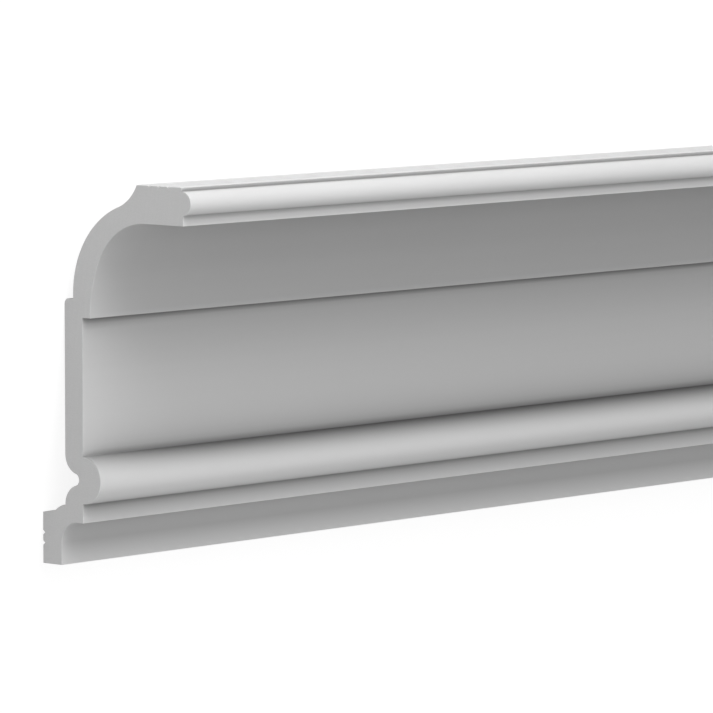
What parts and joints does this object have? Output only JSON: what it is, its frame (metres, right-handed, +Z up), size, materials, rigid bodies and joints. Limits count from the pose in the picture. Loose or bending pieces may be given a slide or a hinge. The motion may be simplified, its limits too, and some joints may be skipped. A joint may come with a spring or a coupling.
{
  "type": "cornice moulding",
  "caption": "Length of white foam cornice moulding with a beaded nose, deep cove, flat frieze, torus and stepped foot, to cover the corner of wall and ceiling.",
  "frame": {"origin": "middle of the floor under the stock as it lies on its back: centre of the lower face of its box", "axes": "+X along the length, away from the end shown in the picture; +Y from the foot towards the ceiling edge; +Z up, out of the moulding's face"},
  "size_m": [2, 0.2124, 0.0811],
  "materials": {
    "primed_foam": "smooth matt white primer over moulded rigid foam, with sawn ends"
  },
  "bodies": {
    "root": {"cornice_moulding": "primed_foam"}
  },
  "joints": []
}
